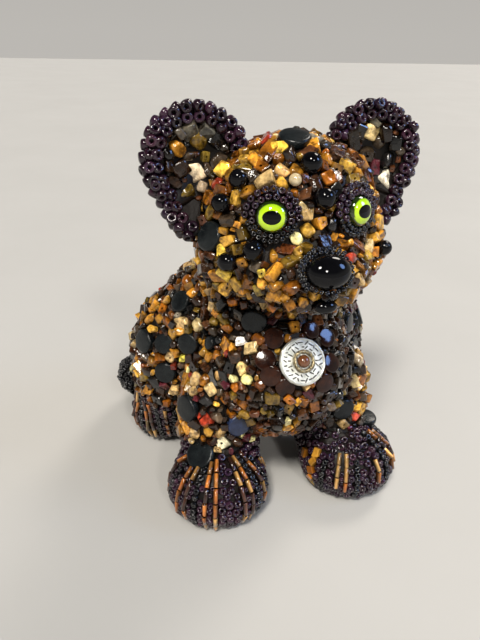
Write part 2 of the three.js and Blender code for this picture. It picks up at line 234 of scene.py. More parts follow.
# ---------------------------------------------------------------- bead shapes, in a cube of half side 1
class Shape:
    """A small mesh that is repeated: its vertices, faces, and the painted light and shade on each vertex.
    """

    def __init__(self, bm, smooth=False):
        bm.verts.index_update()
        self.points = np.array([v.co for v in bm.verts])
        faces = [[v.index for v in f.verts] for f in bm.faces]
        self.loops = np.concatenate([np.array(f) for f in faces])
        self.totals = np.array([len(f) for f in faces])
        self.smooth = smooth
        self.shade = np.ones(len(self.points))
        bm.free()
        signs = np.array([[x, y, z] for x in (-1, 1) for y in (-1, 1) for z in (-1, 1)])
        terms = (1 + self.points[:, None, :] * signs[None]) / 2
        self.weights = terms.prod(axis=2)


def bevel(bm, chamfer, segments=1):
    bmesh.ops.bevel(bm, geom=bm.edges[:], offset=chamfer, segments=segments, profile=0.5,
                    affect="EDGES")


def block(chamfer, smooth=False, segments=1):
    bm = bmesh.new()
    bmesh.ops.create_cube(bm, size=2)
    bevel(bm, chamfer, segments)
    return Shape(bm, smooth)


def prism(sides, chamfer, smooth=False):
    bm = bmesh.new()
    bmesh.ops.create_cone(bm, cap_ends=True, segments=sides, radius1=1, radius2=1, depth=2)
    bevel(bm, chamfer)
    return Shape(bm, smooth)


def pebble():
    bm = bmesh.new()
    bmesh.ops.create_icosphere(bm, subdivisions=2, radius=1.0)
    for v in bm.verts:
        v.co = Vector(math.copysign(abs(c) ** 0.8, c) for c in v.co)
    return Shape(bm, smooth=True)


def drilled_block(chamfer, hole=0.24):
    """A block with a drilled hole in its top, with painted shade in the hole."""
    bm = bmesh.new()
    bmesh.ops.create_cube(bm, size=2)
    bevel(bm, chamfer)
    top = max(bm.faces, key=lambda f: f.calc_center_median().z - abs(f.normal.z - 1))
    rim = sorted(top.verts, key=lambda v: math.atan2(v.co.y, v.co.x))
    bm.faces.remove(top)
    turns = [math.radians(-180 + 22.5 + 45 * i) for i in range(8)]
    rings = [[bm.verts.new((hole * math.cos(t), hole * math.sin(t), z)) for t in turns]
             for z in (1, 0.2)]
    for i in range(4):
        a, b = rim[i], rim[(i + 1) % 4]
        o = [rings[0][(2 * i + k) % 8] for k in range(3)]
        bm.faces.new((a, o[0], o[1]))
        bm.faces.new((a, o[1], o[2], b))
    for i in range(8):
        j = (i + 1) % 8
        bm.faces.new((rings[0][i], rings[1][i], rings[1][j], rings[0][j]))
    bm.faces.new(rings[1])
    bmesh.ops.recalc_face_normals(bm, faces=bm.faces[:])
    shape = Shape(bm)
    # Painted shade: the hole's walls are darkened and its bottom made nearly black.
    shape.shade[-16:] = 0.35
    shape.shade[-8:] = 0.03
    return shape


def seed(around, across, hole=0.27, height=0.72):
    """A seed bead: a short round tube with swollen sides. Its hole runs along z."""
    bm = bmesh.new()
    middle, half = (1 + hole) / 2, (1 - hole) / 2
    rings = []
    for i in range(around):
        turn = 2 * math.pi * i / around
        ring = []
        for k in range(across):
            side = 2 * math.pi * k / across
            r = middle + half * math.copysign(abs(math.cos(side)) ** 0.8, math.cos(side))
            z = height * math.copysign(abs(math.sin(side)) ** 0.8, math.sin(side))
            ring.append(bm.verts.new((r * math.cos(turn), r * math.sin(turn), z)))
        rings.append(ring)
    for i in range(around):
        for k in range(across):
            a, b = rings[i], rings[(i + 1) % around]
            m = (k + 1) % across
            bm.faces.new((a[k], b[k], b[m], a[m]))
    return Shape(bm, smooth=True)


def bugle(sides=8, hole=0.5):
    """A bugle bead: a straight cut tube along x, with a rounded lip at each end, and painted highlight and
    shade lines along it.
    """
    bm = bmesh.new()
    profile = [(-1, hole), (-1, 0.86), (-0.96, 1), (0.96, 1), (1, 0.86), (1, hole)]
    rings = []
    for i in range(sides):
        turn = 2 * math.pi * i / sides
        rings.append([bm.verts.new((x, r * math.cos(turn), r * math.sin(turn)))
                      for x, r in profile])
    for i in range(sides):
        a, b = rings[i], rings[(i + 1) % sides]
        for k in range(len(profile)):
            m = (k + 1) % len(profile)
            bm.faces.new((a[k], b[k], b[m], a[m]))
    bmesh.ops.recalc_face_normals(bm, faces=bm.faces[:])
    shape = Shape(bm, smooth=True)
    # Painted highlights and shade: the sides run in dark, light and bright lines along the tube, and the
    # hole's edge at each end is darkened.
    for i in range(sides):
        shape.shade[i * len(profile):(i + 1) * len(profile)] = (0.15, 0.8, 2.0, 0.6)[i % 4]
    shape.shade[::len(profile)] = 0.1
    shape.shade[len(profile) - 1::len(profile)] = 0.1
    return shape


CHIPS = [block(0.14), block(0.30, smooth=True, segments=2), drilled_block(0.14), drilled_block(0.28),
         prism(6, 0.22, smooth=True), prism(5, 0.2), pebble(), block(0.5, smooth=True, segments=2)]
CHIP_ODDS = np.array([0.17, 0.22, 0.13, 0.11, 0.13, 0.08, 0.08, 0.08])
PAINTED_FOOT_SHADE = 0.22        # painted shade: how bright a chip's colour is made at its foot, where the adhesive would shade it
# Painted shade: each chip's colour is darkened towards its foot.
for chip in CHIPS:
    height = np.clip(chip.points[:, 2] * 0.75 + 0.6, 0, 1)
    chip.shade = chip.shade * (PAINTED_FOOT_SHADE + (1 - PAINTED_FOOT_SHADE) * height)
SEED = seed(14, 8)
SMALL_SEED = seed(10, 6)
BUGLE = bugle()


class Bead:
    """One chip or bead: a shape, its eight cube corners in place, its colour and its middle."""

    def __init__(self, shape, basis, middle, half, colour, jitter=0.0):
        signs = np.array([[x, y, z] for x in (-1, 1) for y in (-1, 1) for z in (-1, 1)], float)
        if jitter:
            signs = signs * (1 + jitter * draw.uniform(-1, 0.45, (8, 3)))
        self.shape = shape
        self.middle = np.array(middle)
        self.corners = (signs * np.array(half)) @ np.array(basis) + self.middle
        self.colour = colour


def basis_on(normal, along=None, tilt=0.0):
    """Rows: two tangents and the normal, spun at random unless `along` is given, and tilted."""
    n = np.array(normal) + tilt * draw.normal(size=3)
    n /= np.linalg.norm(n)
    t = np.array(along) if along is not None else draw.normal(size=3)
    t = t - n * (t @ n)
    t /= np.linalg.norm(t)
    return np.array([t, np.cross(n, t), n])


def varied(colour, spread=0.22):
    """A bead's own colour: a little lighter or darker, and a little warmer or cooler."""
    light = math.exp(draw.normal(0, spread))
    warm = 1 + draw.normal(0, 0.07)
    r, g, b = colour
    return (min(r * light * warm, 0.9), min(g * light, 0.88), min(b * light / warm, 0.85))


def pick(mix):
    names = list(mix)
    odds = np.array([mix[n] for n in names], float)
    return STONE[names[draw.choice(len(names), p=odds / odds.sum())]]


# ---------------------------------------------------------------- meshes from beads
def make_mesh(name, points, loops, totals, smooth, colours=None):
    mesh = bpy.data.meshes.new(name)
    mesh.vertices.add(len(points))
    mesh.vertices.foreach_set("co", (np.asarray(points) * MM).ravel())
    mesh.loops.add(len(loops))
    mesh.loops.foreach_set("vertex_index", loops)
    mesh.polygons.add(len(totals))
    mesh.polygons.foreach_set("loop_start", np.concatenate([[0], np.cumsum(totals)[:-1]]))
    mesh.polygons.foreach_set("use_smooth", smooth)
    if colours is not None:
        tint = mesh.color_attributes.new("tint", "FLOAT_COLOR", "POINT")
        tint.data.foreach_set("color", np.c_[colours, np.ones(len(colours))].ravel())
    mesh.update(calc_edges=True)
    mesh.validate()
    return mesh


def place(name, mesh, material, slot, *nodes):
    """Puts a finished mesh into the scene as a piece of the figure."""
    piece = bpy.data.objects.new(name, mesh)
    bpy.context.scene.collection.objects.link(piece)
    mesh.materials.append(material)
    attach(piece, "root")
    if nodes:
        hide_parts(*nodes)
    return piece


def bead_mesh(name, beads):
    points, loops, totals, smooth, colours, start = [], [], [], [], [], 0
    for bead in beads:
        shape = bead.shape
        spots = shape.weights @ bead.corners
        spots[:, 2] = np.maximum(spots[:, 2], GROUND)
        points.append(spots)
        loops.append(shape.loops + start)
        totals.append(shape.totals)
        smooth.append(np.full(len(shape.totals), shape.smooth))
        # A bead's vertex colours are its colour times its shape's painted light and shade.
        colours.append(np.outer(shape.shade, bead.colour))
        start += len(shape.points)
    return make_mesh(name, *(np.concatenate(part) for part in (points, loops, totals, smooth, colours)))


def halves(beads, most):
    """Splits a list of beads by place until no part has more than `most`."""
    if len(beads) <= most:
        return [beads]
    middles = np.array([bead.middle for bead in beads])
    axis = np.argmax(np.ptp(middles, axis=0))
    order = np.argsort(middles[:, axis], kind="stable")
    cut = len(beads) // 2
    return (halves([beads[i] for i in order[:cut]], most)
            + halves([beads[i] for i in order[cut:]], most))


def place_beads(name, beads, material, slot, *nodes, most=130):
    if not beads:
        return
    parts = halves(beads, most)
    for i, part in enumerate(parts, 1):
        title = name if len(parts) == 1 else f"{name}_{i:02d}"
        place(title, bead_mesh(title, part), material, slot, *nodes)


# ---------------------------------------------------------------- materials
class Paint:
    """A material and the few kinds of node that every surface here is made of."""

    def __init__(self, name, roughness, coat=0.0, metallic=0.0, ior=1.5):
        self.made = bpy.data.materials.new(name)
        self.made.use_nodes = True
        self.nodes = self.made.node_tree.nodes
        self.link = self.made.node_tree.links.new
        self.inputs = self.nodes["Principled BSDF"].inputs
        self.where = self.nodes.new("ShaderNodeTexCoord").outputs["Object"]
        values = {"Roughness": roughness, "Metallic": metallic, "IOR": ior, "Coat Weight": coat,
                  "Coat Roughness": 0.06}
        for key, value in values.items():
            self.inputs[key].default_value = value

    def pattern(self, kind, **values):
        """A procedural texture in the piece's own space."""
        texture = self.nodes.new(kind)
        for key, value in values.items():
            texture.inputs[key].default_value = value
        self.link(self.where, texture.inputs["Vector"])
        return texture.outputs["Fac"]

    def tint(self):
        attribute = self.nodes.new("ShaderNodeAttribute")
        attribute.attribute_name = "tint"
        return attribute.outputs["Color"]

    def ramp(self, source, dark, light, low=0.0, high=1.0):
        """Runs from dark to light while the source goes from low to high."""
        made = self.nodes.new("ShaderNodeValToRGB")
        first, last = made.color_ramp.elements
        first.position = low
        first.color = (*dark, 1)
        last.position = high
        last.color = (*light, 1)
        self.link(source, made.inputs["Fac"])
        return made.outputs["Color"]

    def multiplied(self, under, over, share):
        made = self.nodes.new("ShaderNodeMix")
        made.data_type = "RGBA"
        made.blend_type = "MULTIPLY"
        made.inputs["Factor"].default_value = share
        self.link(under, made.inputs["A"])
        self.link(over, made.inputs["B"])
        return made.outputs["Result"]

    def colour(self, source):
        self.link(source, self.inputs["Base Color"])

    def bump(self, height, strength, distance):
        """Unevenness that shows in the surface and in its coat alike."""
        made = self.nodes.new("ShaderNodeBump")
        made.inputs["Strength"].default_value = strength
        made.inputs["Distance"].default_value = distance
        self.link(height, made.inputs["Height"])
        for name in ("Normal", "Coat Normal"):
            self.link(made.outputs["Normal"], self.inputs[name])


def chip_material(name, roughness, band, cloud, bump):
    """Polished stone: the chip's own tint, darkened at its foot by painted shade, fine bands as in tiger's
    eye, and cloudy patches.
    """
    paint = Paint(name, roughness, coat=0.38, ior=1.42)
    bands = paint.pattern("ShaderNodeTexWave", Scale=180.0, Distortion=14.0, Detail=3.0)
    clouds = paint.pattern("ShaderNodeTexNoise", Scale=430.0, Detail=4.0, Roughness=0.6)
    stripe = paint.ramp(bands, (0.30, 0.22, 0.16), (1.0, 1.0, 1.0))
    patch = paint.ramp(clouds, (0.22, 0.19, 0.17), (1.55, 1.46, 1.28), 0.35, 0.64)
    banded = paint.multiplied(paint.tint(), stripe, band)
    paint.colour(paint.multiplied(banded, patch, cloud))
    paint.bump(clouds, bump, 0.0006)
    return paint.made


def tinted_glass(name, coat, ior, scale, detail, dark, light, low=0.0, high=1.0):
    """Glass in the tint of each bead or vertex, with faint streaks; on bugle beads the tint holds painted
    highlights and shade.
    """
    paint = Paint(name, 0.06, coat=coat, ior=ior)
    streaks = paint.pattern("ShaderNodeTexNoise", Scale=scale, Detail=detail)
    faint = paint.ramp(streaks, dark, light, low, high)
    paint.colour(paint.multiplied(paint.tint(), faint, 0.5))
    return paint.made


def noisy_material(name, dark, light, roughness, scale, bump, metallic=0.0, coat=0.0, ior=1.5):
    """A surface that drifts between two colours, with fine unevenness."""
    paint = Paint(name, roughness, coat, metallic, ior)
    noise = paint.pattern("ShaderNodeTexNoise", Scale=scale, Detail=5.0, Roughness=0.6)
    paint.colour(paint.ramp(noise, dark, light, 0.35, 0.68))
    paint.bump(noise, bump, 0.0005)
    return paint.made


STONE_CHIPS = chip_material("polished_stone", 0.06, band=0.30, cloud=0.95, bump=0.40)
GLASS_BEADS = tinted_glass("pressed_glass", 0.4, 1.42, 300.0, 2.0, (0.35, 0.35, 0.4), (1.6, 1.5, 1.6),
                           0.3, 0.7)
# The lime of the eyes, greener towards the edge and the top, is in their vertices' tint.
IRIS = tinted_glass("lime_iris", 1.0, 1.5, 700.0, 3.0, (0.75, 0.80, 0.6), (1.1, 1.08, 1.0))
# The adhesive is near-black: partly its own dark colour, partly painted shade of the gaps between beads.
ADHESIVE_AND_GAP_SHADE = noisy_material("dark_adhesive_and_gap_shade", (0.002, 0.0014, 0.001), (0.008, 0.0045, 0.003), 0.4,
                          220.0, 0.6, ior=1.3)
WOOD = noisy_material("carved_wood", (0.30, 0.19, 0.10), (0.52, 0.38, 0.22), 0.65, 90.0, 0.3)
COIN_GLASS = noisy_material("coin_glass", (0.003, 0.004, 0.005), (0.009, 0.012, 0.013), 0.27,
                            260.0, 0.35, ior=1.36)
BLUE_COIN = noisy_material("blue_coin_glass", (0.006, 0.011, 0.032), (0.018, 0.030, 0.080), 0.22,
                           260.0, 0.3)
BROWN_COIN = noisy_material("brown_coin_glass", (0.008, 0.0026, 0.002), (0.036, 0.011, 0.005), 0.10,
                            200.0, 0.2, ior=1.38)
JET = noisy_material("jet_glass", (0.001, 0.001, 0.0015), (0.003, 0.003, 0.004), 0.05, 160.0, 0.04,
                     ior=1.34)
CREAM = noisy_material("cream_shell", (0.42, 0.32, 0.17), (0.74, 0.62, 0.40), 0.12, 300.0, 0.1, coat=0.8)
SILVER = noisy_material("aged_silver", (0.50, 0.51, 0.45), (0.92, 0.93, 0.88), 0.34, 420.0, 0.35,
                        metallic=0.6)
PATINA = noisy_material("silver_patina", (0.012, 0.010, 0.007), (0.05, 0.04, 0.025), 0.5, 500.0, 0.3)
ROPE = noisy_material("darkened_rope_ring", (0.09, 0.065, 0.03), (0.55, 0.46, 0.27), 0.3, 500.0, 0.4,
                      metallic=0.7)
HONEY_GLASS = noisy_material("amber_cabochon", (0.045, 0.014, 0.005), (0.17, 0.058, 0.017), 0.06, 160.0,
                             0.05, coat=1.0)


# ---------------------------------------------------------------- the adhesive under the beads
def sunk_skin(node_name, slot):
    """The node's own closed body, with its outer surface sunk under the tops of the beads."""
    verts, tris = SOLIDS[node_name]
    found, normals, areas = outer(node_name)
    push = np.zeros_like(verts)
    for k in range(3):
        np.add.at(push, tris[found, k], normals[found] * areas[found, None])
    size = np.linalg.norm(push, axis=1)
    moved = verts - SINK * push / np.maximum(size, 1e-9)[:, None]
    ground = verts[:, 2] < GROUND
    moved[ground, 2] = verts[ground, 2]
    count = len(tris)
    mesh = make_mesh(node_name + "_adhesive", moved, tris.ravel(), np.full(count, 3),
                     np.zeros(count, bool))
    place(node_name + "_adhesive", mesh, ADHESIVE_AND_GAP_SHADE, slot, node_name)


# ---------------------------------------------------------------- round pieces let into the skin
FIGURE_MIDDLE = {
    "head": np.array(sum(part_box("head_core"), Vector())) / 2 / MM,
    "body": np.array(sum(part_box("torso_core"), Vector())) / 2 / MM,
}


class Seat:
    """Where a flat round CAD piece sits: its middle, its axis pointing out, side and rise."""

    def __init__(self, node_name, inside="body"):
        verts, tris = SOLIDS[node_name]
        spread = verts - verts.mean(axis=0)
        ways = np.linalg.svd(spread, full_matrices=False)[2]
        axis = ways[2]
        if axis @ (verts.mean(axis=0) - FIGURE_MIDDLE[inside]) < 0:
            axis = -axis
        side = np.cross(np.array([0, 0, 1.0]), axis)
        side /= np.linalg.norm(side)
        rise = np.cross(axis, side)
        self.axes = np.array([side, rise, axis])
        local = verts @ self.axes.T
        low, high = local.min(axis=0), local.max(axis=0)
        self.middle = ((low + high) / 2) @ self.axes
        self.half = (high - low) / 2
        self.radius = max(self.half[0], self.half[1])

    def out(self, points):
        """Points given as side, rise and axis from the middle, moved into place."""
        return np.asarray(points) @ self.axes + self.middle


def turned(profile, segments, widen=1.0):
    """A closed lathe: profile is (radius, height) from the bottom of the axis to its top."""
    points, faces, rows = [], [], []
    for r, z in profile:
        if r < 1e-6:
            rows.append([len(points)] * segments)
            points.append((0, 0, z))
        else:
            rows.append(list(range(len(points), len(points) + segments)))
            points += [(widen * r * math.cos(2 * math.pi * i / segments),
                        r * math.sin(2 * math.pi * i / segments), z) for i in range(segments)]
    for low, high in zip(rows, rows[1:]):
        for i in range(segments):
            j = (i + 1) % segments
            corners = [low[i], low[j], high[j], high[i]]
            face = [c for n, c in enumerate(corners) if c not in corners[:n]]
            if len(face) > 2:
                faces.append(face)
    return np.array(points, float), faces


def solid_mesh(name, points, faces, colours=None):
    loops = np.concatenate([np.array(f) for f in faces])
    totals = np.array([len(f) for f in faces])
    return make_mesh(name, points, loops, totals, np.full(len(faces), True), colours)


def place_solid(name, points, faces, finish, slot, *nodes):
    place(name, solid_mesh(name, points, faces), finish, slot, *nodes)


def rounded_disc(radius, half, edge, dome=0.0, steps=5):
    """Profile of a disc with round edges and slightly domed faces."""
    arc = [math.pi / 2 * i / steps for i in range(steps + 1)]
    low = [(radius - edge + edge * math.sin(a), -half + edge * (1 - math.cos(a))) for a in arc]
    high = [(radius - edge + edge * math.cos(a), half - edge * (1 - math.sin(a))) for a in arc]
    inner = [0.0, 0.35, 0.7]
    flat = radius - edge
    bottom = [(s * flat, -half - dome * (1 - s * s)) for s in inner]
    top = [(s * flat, half + dome * (1 - s * s)) for s in reversed(inner)]
    return bottom + low + high + top


def uneven(points, amount, seed_value):
    """Small smooth waves, so that hand-made glass isn't perfectly even."""
    own = np.random.default_rng(seed_value)
    ways = own.normal(size=(4, 3)) * 0.8
    phase = own.random(4) * 6.28
    wave = sum(np.sin(points @ w + p) for w, p in zip(ways, phase))
    return points * (1 + amount * wave[:, None])


COIN_WAVES = 0.012      # how uneven a coin bead is


def coin(node_name, finish, inside="body"):
    seat = Seat(node_name, inside)
    points, faces = turned(rounded_disc(seat.radius, seat.half[2], 0.9, dome=0.25), 40)
    points = uneven(points, COIN_WAVES, int(seat.radius * 1000))
    place_solid(node_name + "_glass", seat.out(points), faces, finish, "black_glass", node_name)
    take(seat.middle, seat.radius * 1.02)


def loose_coin(name, near, radius, finish, slot):
    """A coin bead that only Blender shows, seated on the surface nearest to a place."""
    half, sunk = 1.3, 0.6
    spot, normal, _, _ = TREE.find_nearest(Vector(near))
    axes = basis_on(normal, along=(1, 0, 0), tilt=0.12)
    points, faces = turned(rounded_disc(radius, half, 0.7, dome=0.2), 32)
    points = uneven(points, COIN_WAVES, int(abs(near[0]) * 100))
    middle = np.array(spot) - np.array(normal) * sunk
    place_solid(name, points @ axes + middle, faces, finish, slot)
    take(middle, radius * 0.98)


def dome_profile(radius, low, height, steps=14, power=1.0):
    arc = [math.pi / 2 * i / steps for i in range(1, steps + 1)]
    lip = [(0, -low), (radius * 0.9, -low), (radius, -low * 0.6), (radius, 0)]
    return lip + [(radius * math.cos(a) ** power, height * math.sin(a)) for a in arc]


def face_bead(node_name, finish, slot):
    """A round glass bead with its stringing hole."""
    low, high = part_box(node_name)
    middle = np.array(low + high) / 2 / MM
    radius = (high - low).x / 2 / MM
    axes = basis_on(middle - FIGURE_MIDDLE["head"], tilt=0.25)
    hole = 0.13
    arc = [math.pi * (0.03 + 0.94 * i / 22) for i in range(23)]
    profile = [(0, -0.75)] + [(max(math.sin(a), hole), -math.cos(a)) for a in arc] + [(0, 0.75)]
    points, faces = turned(profile, 32)
    axes = axes[[1, 2, 0]]
    place_solid(node_name + "_glass", points * radius @ axes + middle, faces, finish, slot, node_name)
    take(middle, radius * 0.95)


def ring_of_seeds(seat, radius, bead, lift, colour, start=0.0, share=1.0, widen=1.0):
    """Seed beads round a cabochon, holes facing out, from an angle on for a share of a turn."""
    length = 2 * math.pi * radius * (1 + widen) / 2 * share
    count = max(3, int(length / (2.02 * bead)))
    beads = []
    for i in range(count):
        turn = start + 2 * math.pi * share * (i + 0.5) / count
        spot = seat.out([widen * radius * math.cos(turn), radius * math.sin(turn), lift])
        basis = basis_on(seat.axes[2], tilt=0.22)
        size = bead * draw.uniform(0.93, 1.05)
        beads.append(Bead(SMALL_SEED, basis, spot, [size] * 3, varied(colour, 0.25)))
        take(spot, bead * 0.9)
    return beads


EYE_RIM = 0.82          # the iris is black outside this share of its radius
EYE_SIDE = 1.6          # height of an eye's straight side, under its dome
PUPIL = (0.58, 0.43)    # half width and half height, as shares of the eye's radius
LIME = np.array([0.64, 0.88, 0.012])
GREENER = np.array([0.46, 0.44, 0.0])   # what the greenest part of the iris has less of
EYE_BACK = (0.010, 0.020, 0.004)
# Bead rings: out from the eye's edge, bead radius, height, glass, start in degrees, share of a turn.
EYE_RINGS = [
    (1.1, 1.15, 0.3, "purple", -20, 0.62), (3.3, 1.2, -0.5, "purple", -8, 0.54),
    (0.9, 0.85, 0.1, "black", 204, 0.37), (2.5, 0.9, -0.5, "black", 188, 0.45),
]


def eye(node_name, ring_node):
    """A glass eye: lime iris with an oval black pupil, ringed with seed beads."""
    seat = Seat(node_name, "head")
    radius, back = seat.radius, -seat.half[2]
    rim = back + EYE_SIDE
    height = seat.half[2] - rim
    rows, around = 20, 48
    points, colours = [], []
    for k in range(rows + 1):
        for i in range(around):
            turn = 2 * math.pi * i / around
            c, s = math.cos(turn), math.sin(turn)
            oval = 1 / math.hypot(c / PUPIL[0], s / PUPIL[1])
            share = k / rows
            r = oval * min(share * 2, 1) + (1 - oval) * max(share * 2 - 1, 0)
            z = rim + height * math.sqrt(max(1 - r * r, 0))
            points.append((radius * r * c, radius * r * s, z))
            edge = (r - oval) / (1 - oval) if r > oval else 0
            green = 0.25 + 0.75 * min(max(edge ** 2 * 1.1 - 0.1 + 0.5 * s * r, 0), 1)
            rim_shade = 1.0 if r < EYE_RIM else 0.05
            colours.append(tuple((LIME - GREENER * green) * rim_shade))
    for z in (rim, back):
        for i in range(around):
            turn = 2 * math.pi * i / around
            points.append((radius * math.cos(turn), radius * math.sin(turn), z))
            colours.append(EYE_BACK)
    faces = []
    total = rows + 3
    for k in range(total - 1):
        for i in range(around):
            j = (i + 1) % around
            faces.append([(k + 1) * around + i, (k + 1) * around + j, k * around + j, k * around + i])
    faces.append([(total - 1) * around + i for i in reversed(range(around))])
    mesh = solid_mesh(node_name + "_cabochon", seat.out(points), faces, colours=np.array(colours))
    bm = bmesh.new()
    bm.from_mesh(mesh)
    bmesh.ops.remove_doubles(bm, verts=bm.verts[:], dist=1e-7)
    bmesh.ops.recalc_face_normals(bm, faces=bm.faces[:])
    bm.to_mesh(mesh)
    bm.free()
    middle = Vector(seat.out([0, 0, 0])) * MM
    place(node_name + "_cabochon", mesh, IRIS, "eye_glass", node_name)
    mesh.materials.append(JET)
    for polygon in mesh.polygons:
        local = seat.axes @ (np.array(polygon.center - middle) / MM)
        oval = math.hypot(local[0] / PUPIL[0], local[1] / PUPIL[1]) / radius
        polygon.material_index = 1 if oval < 0.99 and local[2] > rim else 0
    take(seat.middle, seat.radius)
    near, far, under, lower = (
        ring_of_seeds(seat, radius + out, bead, rim + up, GLASS[glass], math.radians(start), share)
        for out, bead, up, glass, start, share in EYE_RINGS)
    place_beads(ring_node + "_seeds", near + under + far + lower, GLASS_BEADS, "purple_glass", ring_node)


def nose():
    seat = Seat("nose_cabochon", "head")
    wide = seat.half[0] / seat.half[1]
    widen = max(wide, 1 / wide)
    radius = min(seat.half[0], seat.half[1])
    back = -seat.half[2]
    side = 1.6
    profile = dome_profile(radius, side, seat.half[2] * 2 - side, power=0.8)
    points, faces = turned([(r, z + back + side) for r, z in profile], 48, widen * 1.12)
    place_solid("nose_cabochon_glass", seat.out(points), faces, JET, "black_glass", "nose_cabochon")
    take(seat.middle, seat.radius * 0.95)
    inner = ring_of_seeds(seat, radius + 0.9, 0.8, back + 1.3, GLASS["black"], widen=widen * 1.07)
    outer_row = ring_of_seeds(seat, radius + 2.2, 0.8, back + 1.0, GLASS["black"],
                              math.radians(40), 0.5, widen)
    place_beads("nose_bead_ring_seeds", inner + outer_row, GLASS_BEADS, "black_glass", "nose_bead_ring")
    return seat


def skin_between(start, end, step):
    """Places on the skin under a straight line between two points, a step apart."""
    start, end = np.array(start), np.array(end)
    count = max(2, int(np.linalg.norm(end - start) / step))
    for i in range(count + 1):
        spot, normal, _, _ = TREE.find_nearest(Vector(start + (end - start) * i / count))
        yield np.array(spot), np.array(normal)


def mouth(nose_seat):
    """An oval black bead, and the line of small seed beads that joins it to the nose."""
    low, high = (np.array(v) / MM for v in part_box("mouth_bead"))
    middle = (low + high) / 2
    out = (middle - FIGURE_MIDDLE["head"]) * [0, 1, 1]
    axes = basis_on(out, along=(1, 0, 0))
    arc = [math.pi * i / 18 for i in range(19)]
    points, faces = turned([(math.sin(a), -math.cos(a)) for a in arc], 32)
    half = np.array([(high - low)[0] / 2, 2.2, 2.2])
    place_solid("mouth_bead_glass", points * half @ axes + middle, faces, JET, "black_glass", "mouth_bead")
    for offset in (-2.4, 0, 2.4):
        take(middle + [offset, 0, 0], 1.9)
    line = []
    top = nose_seat.out([0, -nose_seat.half[1] - 1.8, 0])
    for spot, normal in skin_between(top, middle + [0, 0, 2.5], 1.9):
        place_at = spot + normal * 0.3
        line.append(Bead(SMALL_SEED, basis_on(normal, tilt=0.2), place_at, [1.05] * 3,
                         varied(GLASS["black"], 0.3)))
        take(place_at, 1.0)
    place_beads("philtrum_seeds", line, GLASS_BEADS, "black_glass")


WORN_MARK = (0.05, 0.045, 0.03)


def medallion():
    """A cast disc with worn marks, a twisted ring and a cabochon in it."""
    seat = Seat("medallion_disc")
    half = seat.half[2]
    radius = seat.radius
    points, faces = turned(rounded_disc(radius, half, 0.5), 72)
    points = uneven(points, 0.006, 3)
    place_solid("medallion_disc_cast", seat.out(points), faces, SILVER, "silver_metal", "medallion_disc")
    rim, rim_faces = twisted_ring(radius - 0.55, 0.32, 0.0, 1, half + 0.08, around=72)
    place_solid("medallion_rim", seat.out(rim), rim_faces, SILVER, "silver_metal")
    ring = Seat("medallion_ring")
    ring_radius = ring.radius - ring.half[2]
    twist, twist_faces = twisted_ring(ring_radius, ring.half[2], 0.16, 16, 0, around=160)
    place_solid("medallion_ring_twisted", ring.out(twist), twist_faces, ROPE, "silver_metal",
                "medallion_ring")
    stone = Seat("medallion_stone")
    profile = dome_profile(stone.radius, stone.half[2] * 0.3, stone.half[2] * 1.7)
    low = -stone.half[2] + stone.half[2] * 0.3
    dome, dome_faces = turned([(r, z + low) for r, z in profile], 40)
    place_solid("medallion_stone_cabochon", stone.out(dome), dome_faces, HONEY_GLASS, "amber_stone",
                "medallion_stone")
    marks = []
    worn = block(0.3)
    for row, count in ((radius * 0.60, 17), (radius * 0.79, 25)):
        for i in range(count):
            turn = 2 * math.pi * (i + draw.uniform(-0.2, 0.2)) / count
            spot = [row * math.cos(turn), row * math.sin(turn), half + 0.02]
            way = turn + draw.choice([0, math.pi / 2, 0.6, -0.6])
            along = seat.axes[0] * math.cos(way) + seat.axes[1] * math.sin(way)
            basis = basis_on(seat.axes[2], along=along)
            size = [draw.uniform(0.5, 1.05), 0.24, 0.12]
            marks.append(Bead(worn, basis, seat.out(spot), size, WORN_MARK, 0.3))
    place_beads("medallion_marks", marks, PATINA, "silver_metal")
    take(seat.middle, seat.radius)


def twisted_ring(radius, wire, depth, turns, lift, around, across=12):
    """A ring of wire whose section turns as it goes round."""
    points, faces = [], []
    for i in range(around):
        turn = 2 * math.pi * i / around
        for k in range(across):
            side = 2 * math.pi * k / across
            thick = wire * (1 - depth + depth * math.cos(3 * side + turns * turn))
            r = radius + thick * math.cos(side)
            points.append((r * math.cos(turn), r * math.sin(turn), lift + thick * math.sin(side)))
    for i in range(around):
        for k in range(across):
            a, b = i * across, ((i + 1) % around) * across
            m = (k + 1) % across
            faces.append([a + k, b + k, b + m, a + m])
    return np.array(points), faces


# ---------------------------------------------------------------- stone mosaic
SMALL_CHIP = 1.2        # chips with a smaller radius only fill gaps, and are given mostly dark stones as painted shade of the gaps
PROUD = (-0.35, 1.25)   # how far a chip's top stands over the skin, from least to most
LOW = (-0.9, -0.2)      # the same for a small chip
LENGTH, WIDTH, THICKNESS = (1.0, 1.32), (0.78, 1.02), (0.75, 1.05)      # shares of a chip's radius


def chips(node, stages, mix_at, tilt):
    places, facing = candidates(node)
    beads = []
    for i, radius in scatter(places, stages):
        spot, normal = places[i], facing[i]
        long = radius * draw.uniform(*LENGTH)
        short = radius * draw.uniform(*WIDTH)
        thick = radius * draw.uniform(*THICKNESS)
        shape = CHIPS[draw.choice(len(CHIPS), p=CHIP_ODDS)]
        rise = draw.uniform(*(PROUD if radius > SMALL_CHIP else LOW))
        middle = spot - normal * (thick - rise)
        basis = basis_on(normal, tilt=tilt)
        # A small gap-filling chip takes a dark fill stone: painted shade of the gap.
        beads.append(Bead(shape, basis, middle, [long, short, thick],
                          varied(pick(FILL_SHADE_MIX if radius < SMALL_CHIP else mix_at(spot)), 0.34),
                          jitter=0.38))
    return beads


def place_chips(name, node_name, stages, mix_at, slot="gold_stone", tilt=0.34):
    place_beads(name, chips(node_name, stages, mix_at, tilt), STONE_CHIPS, slot, node_name)


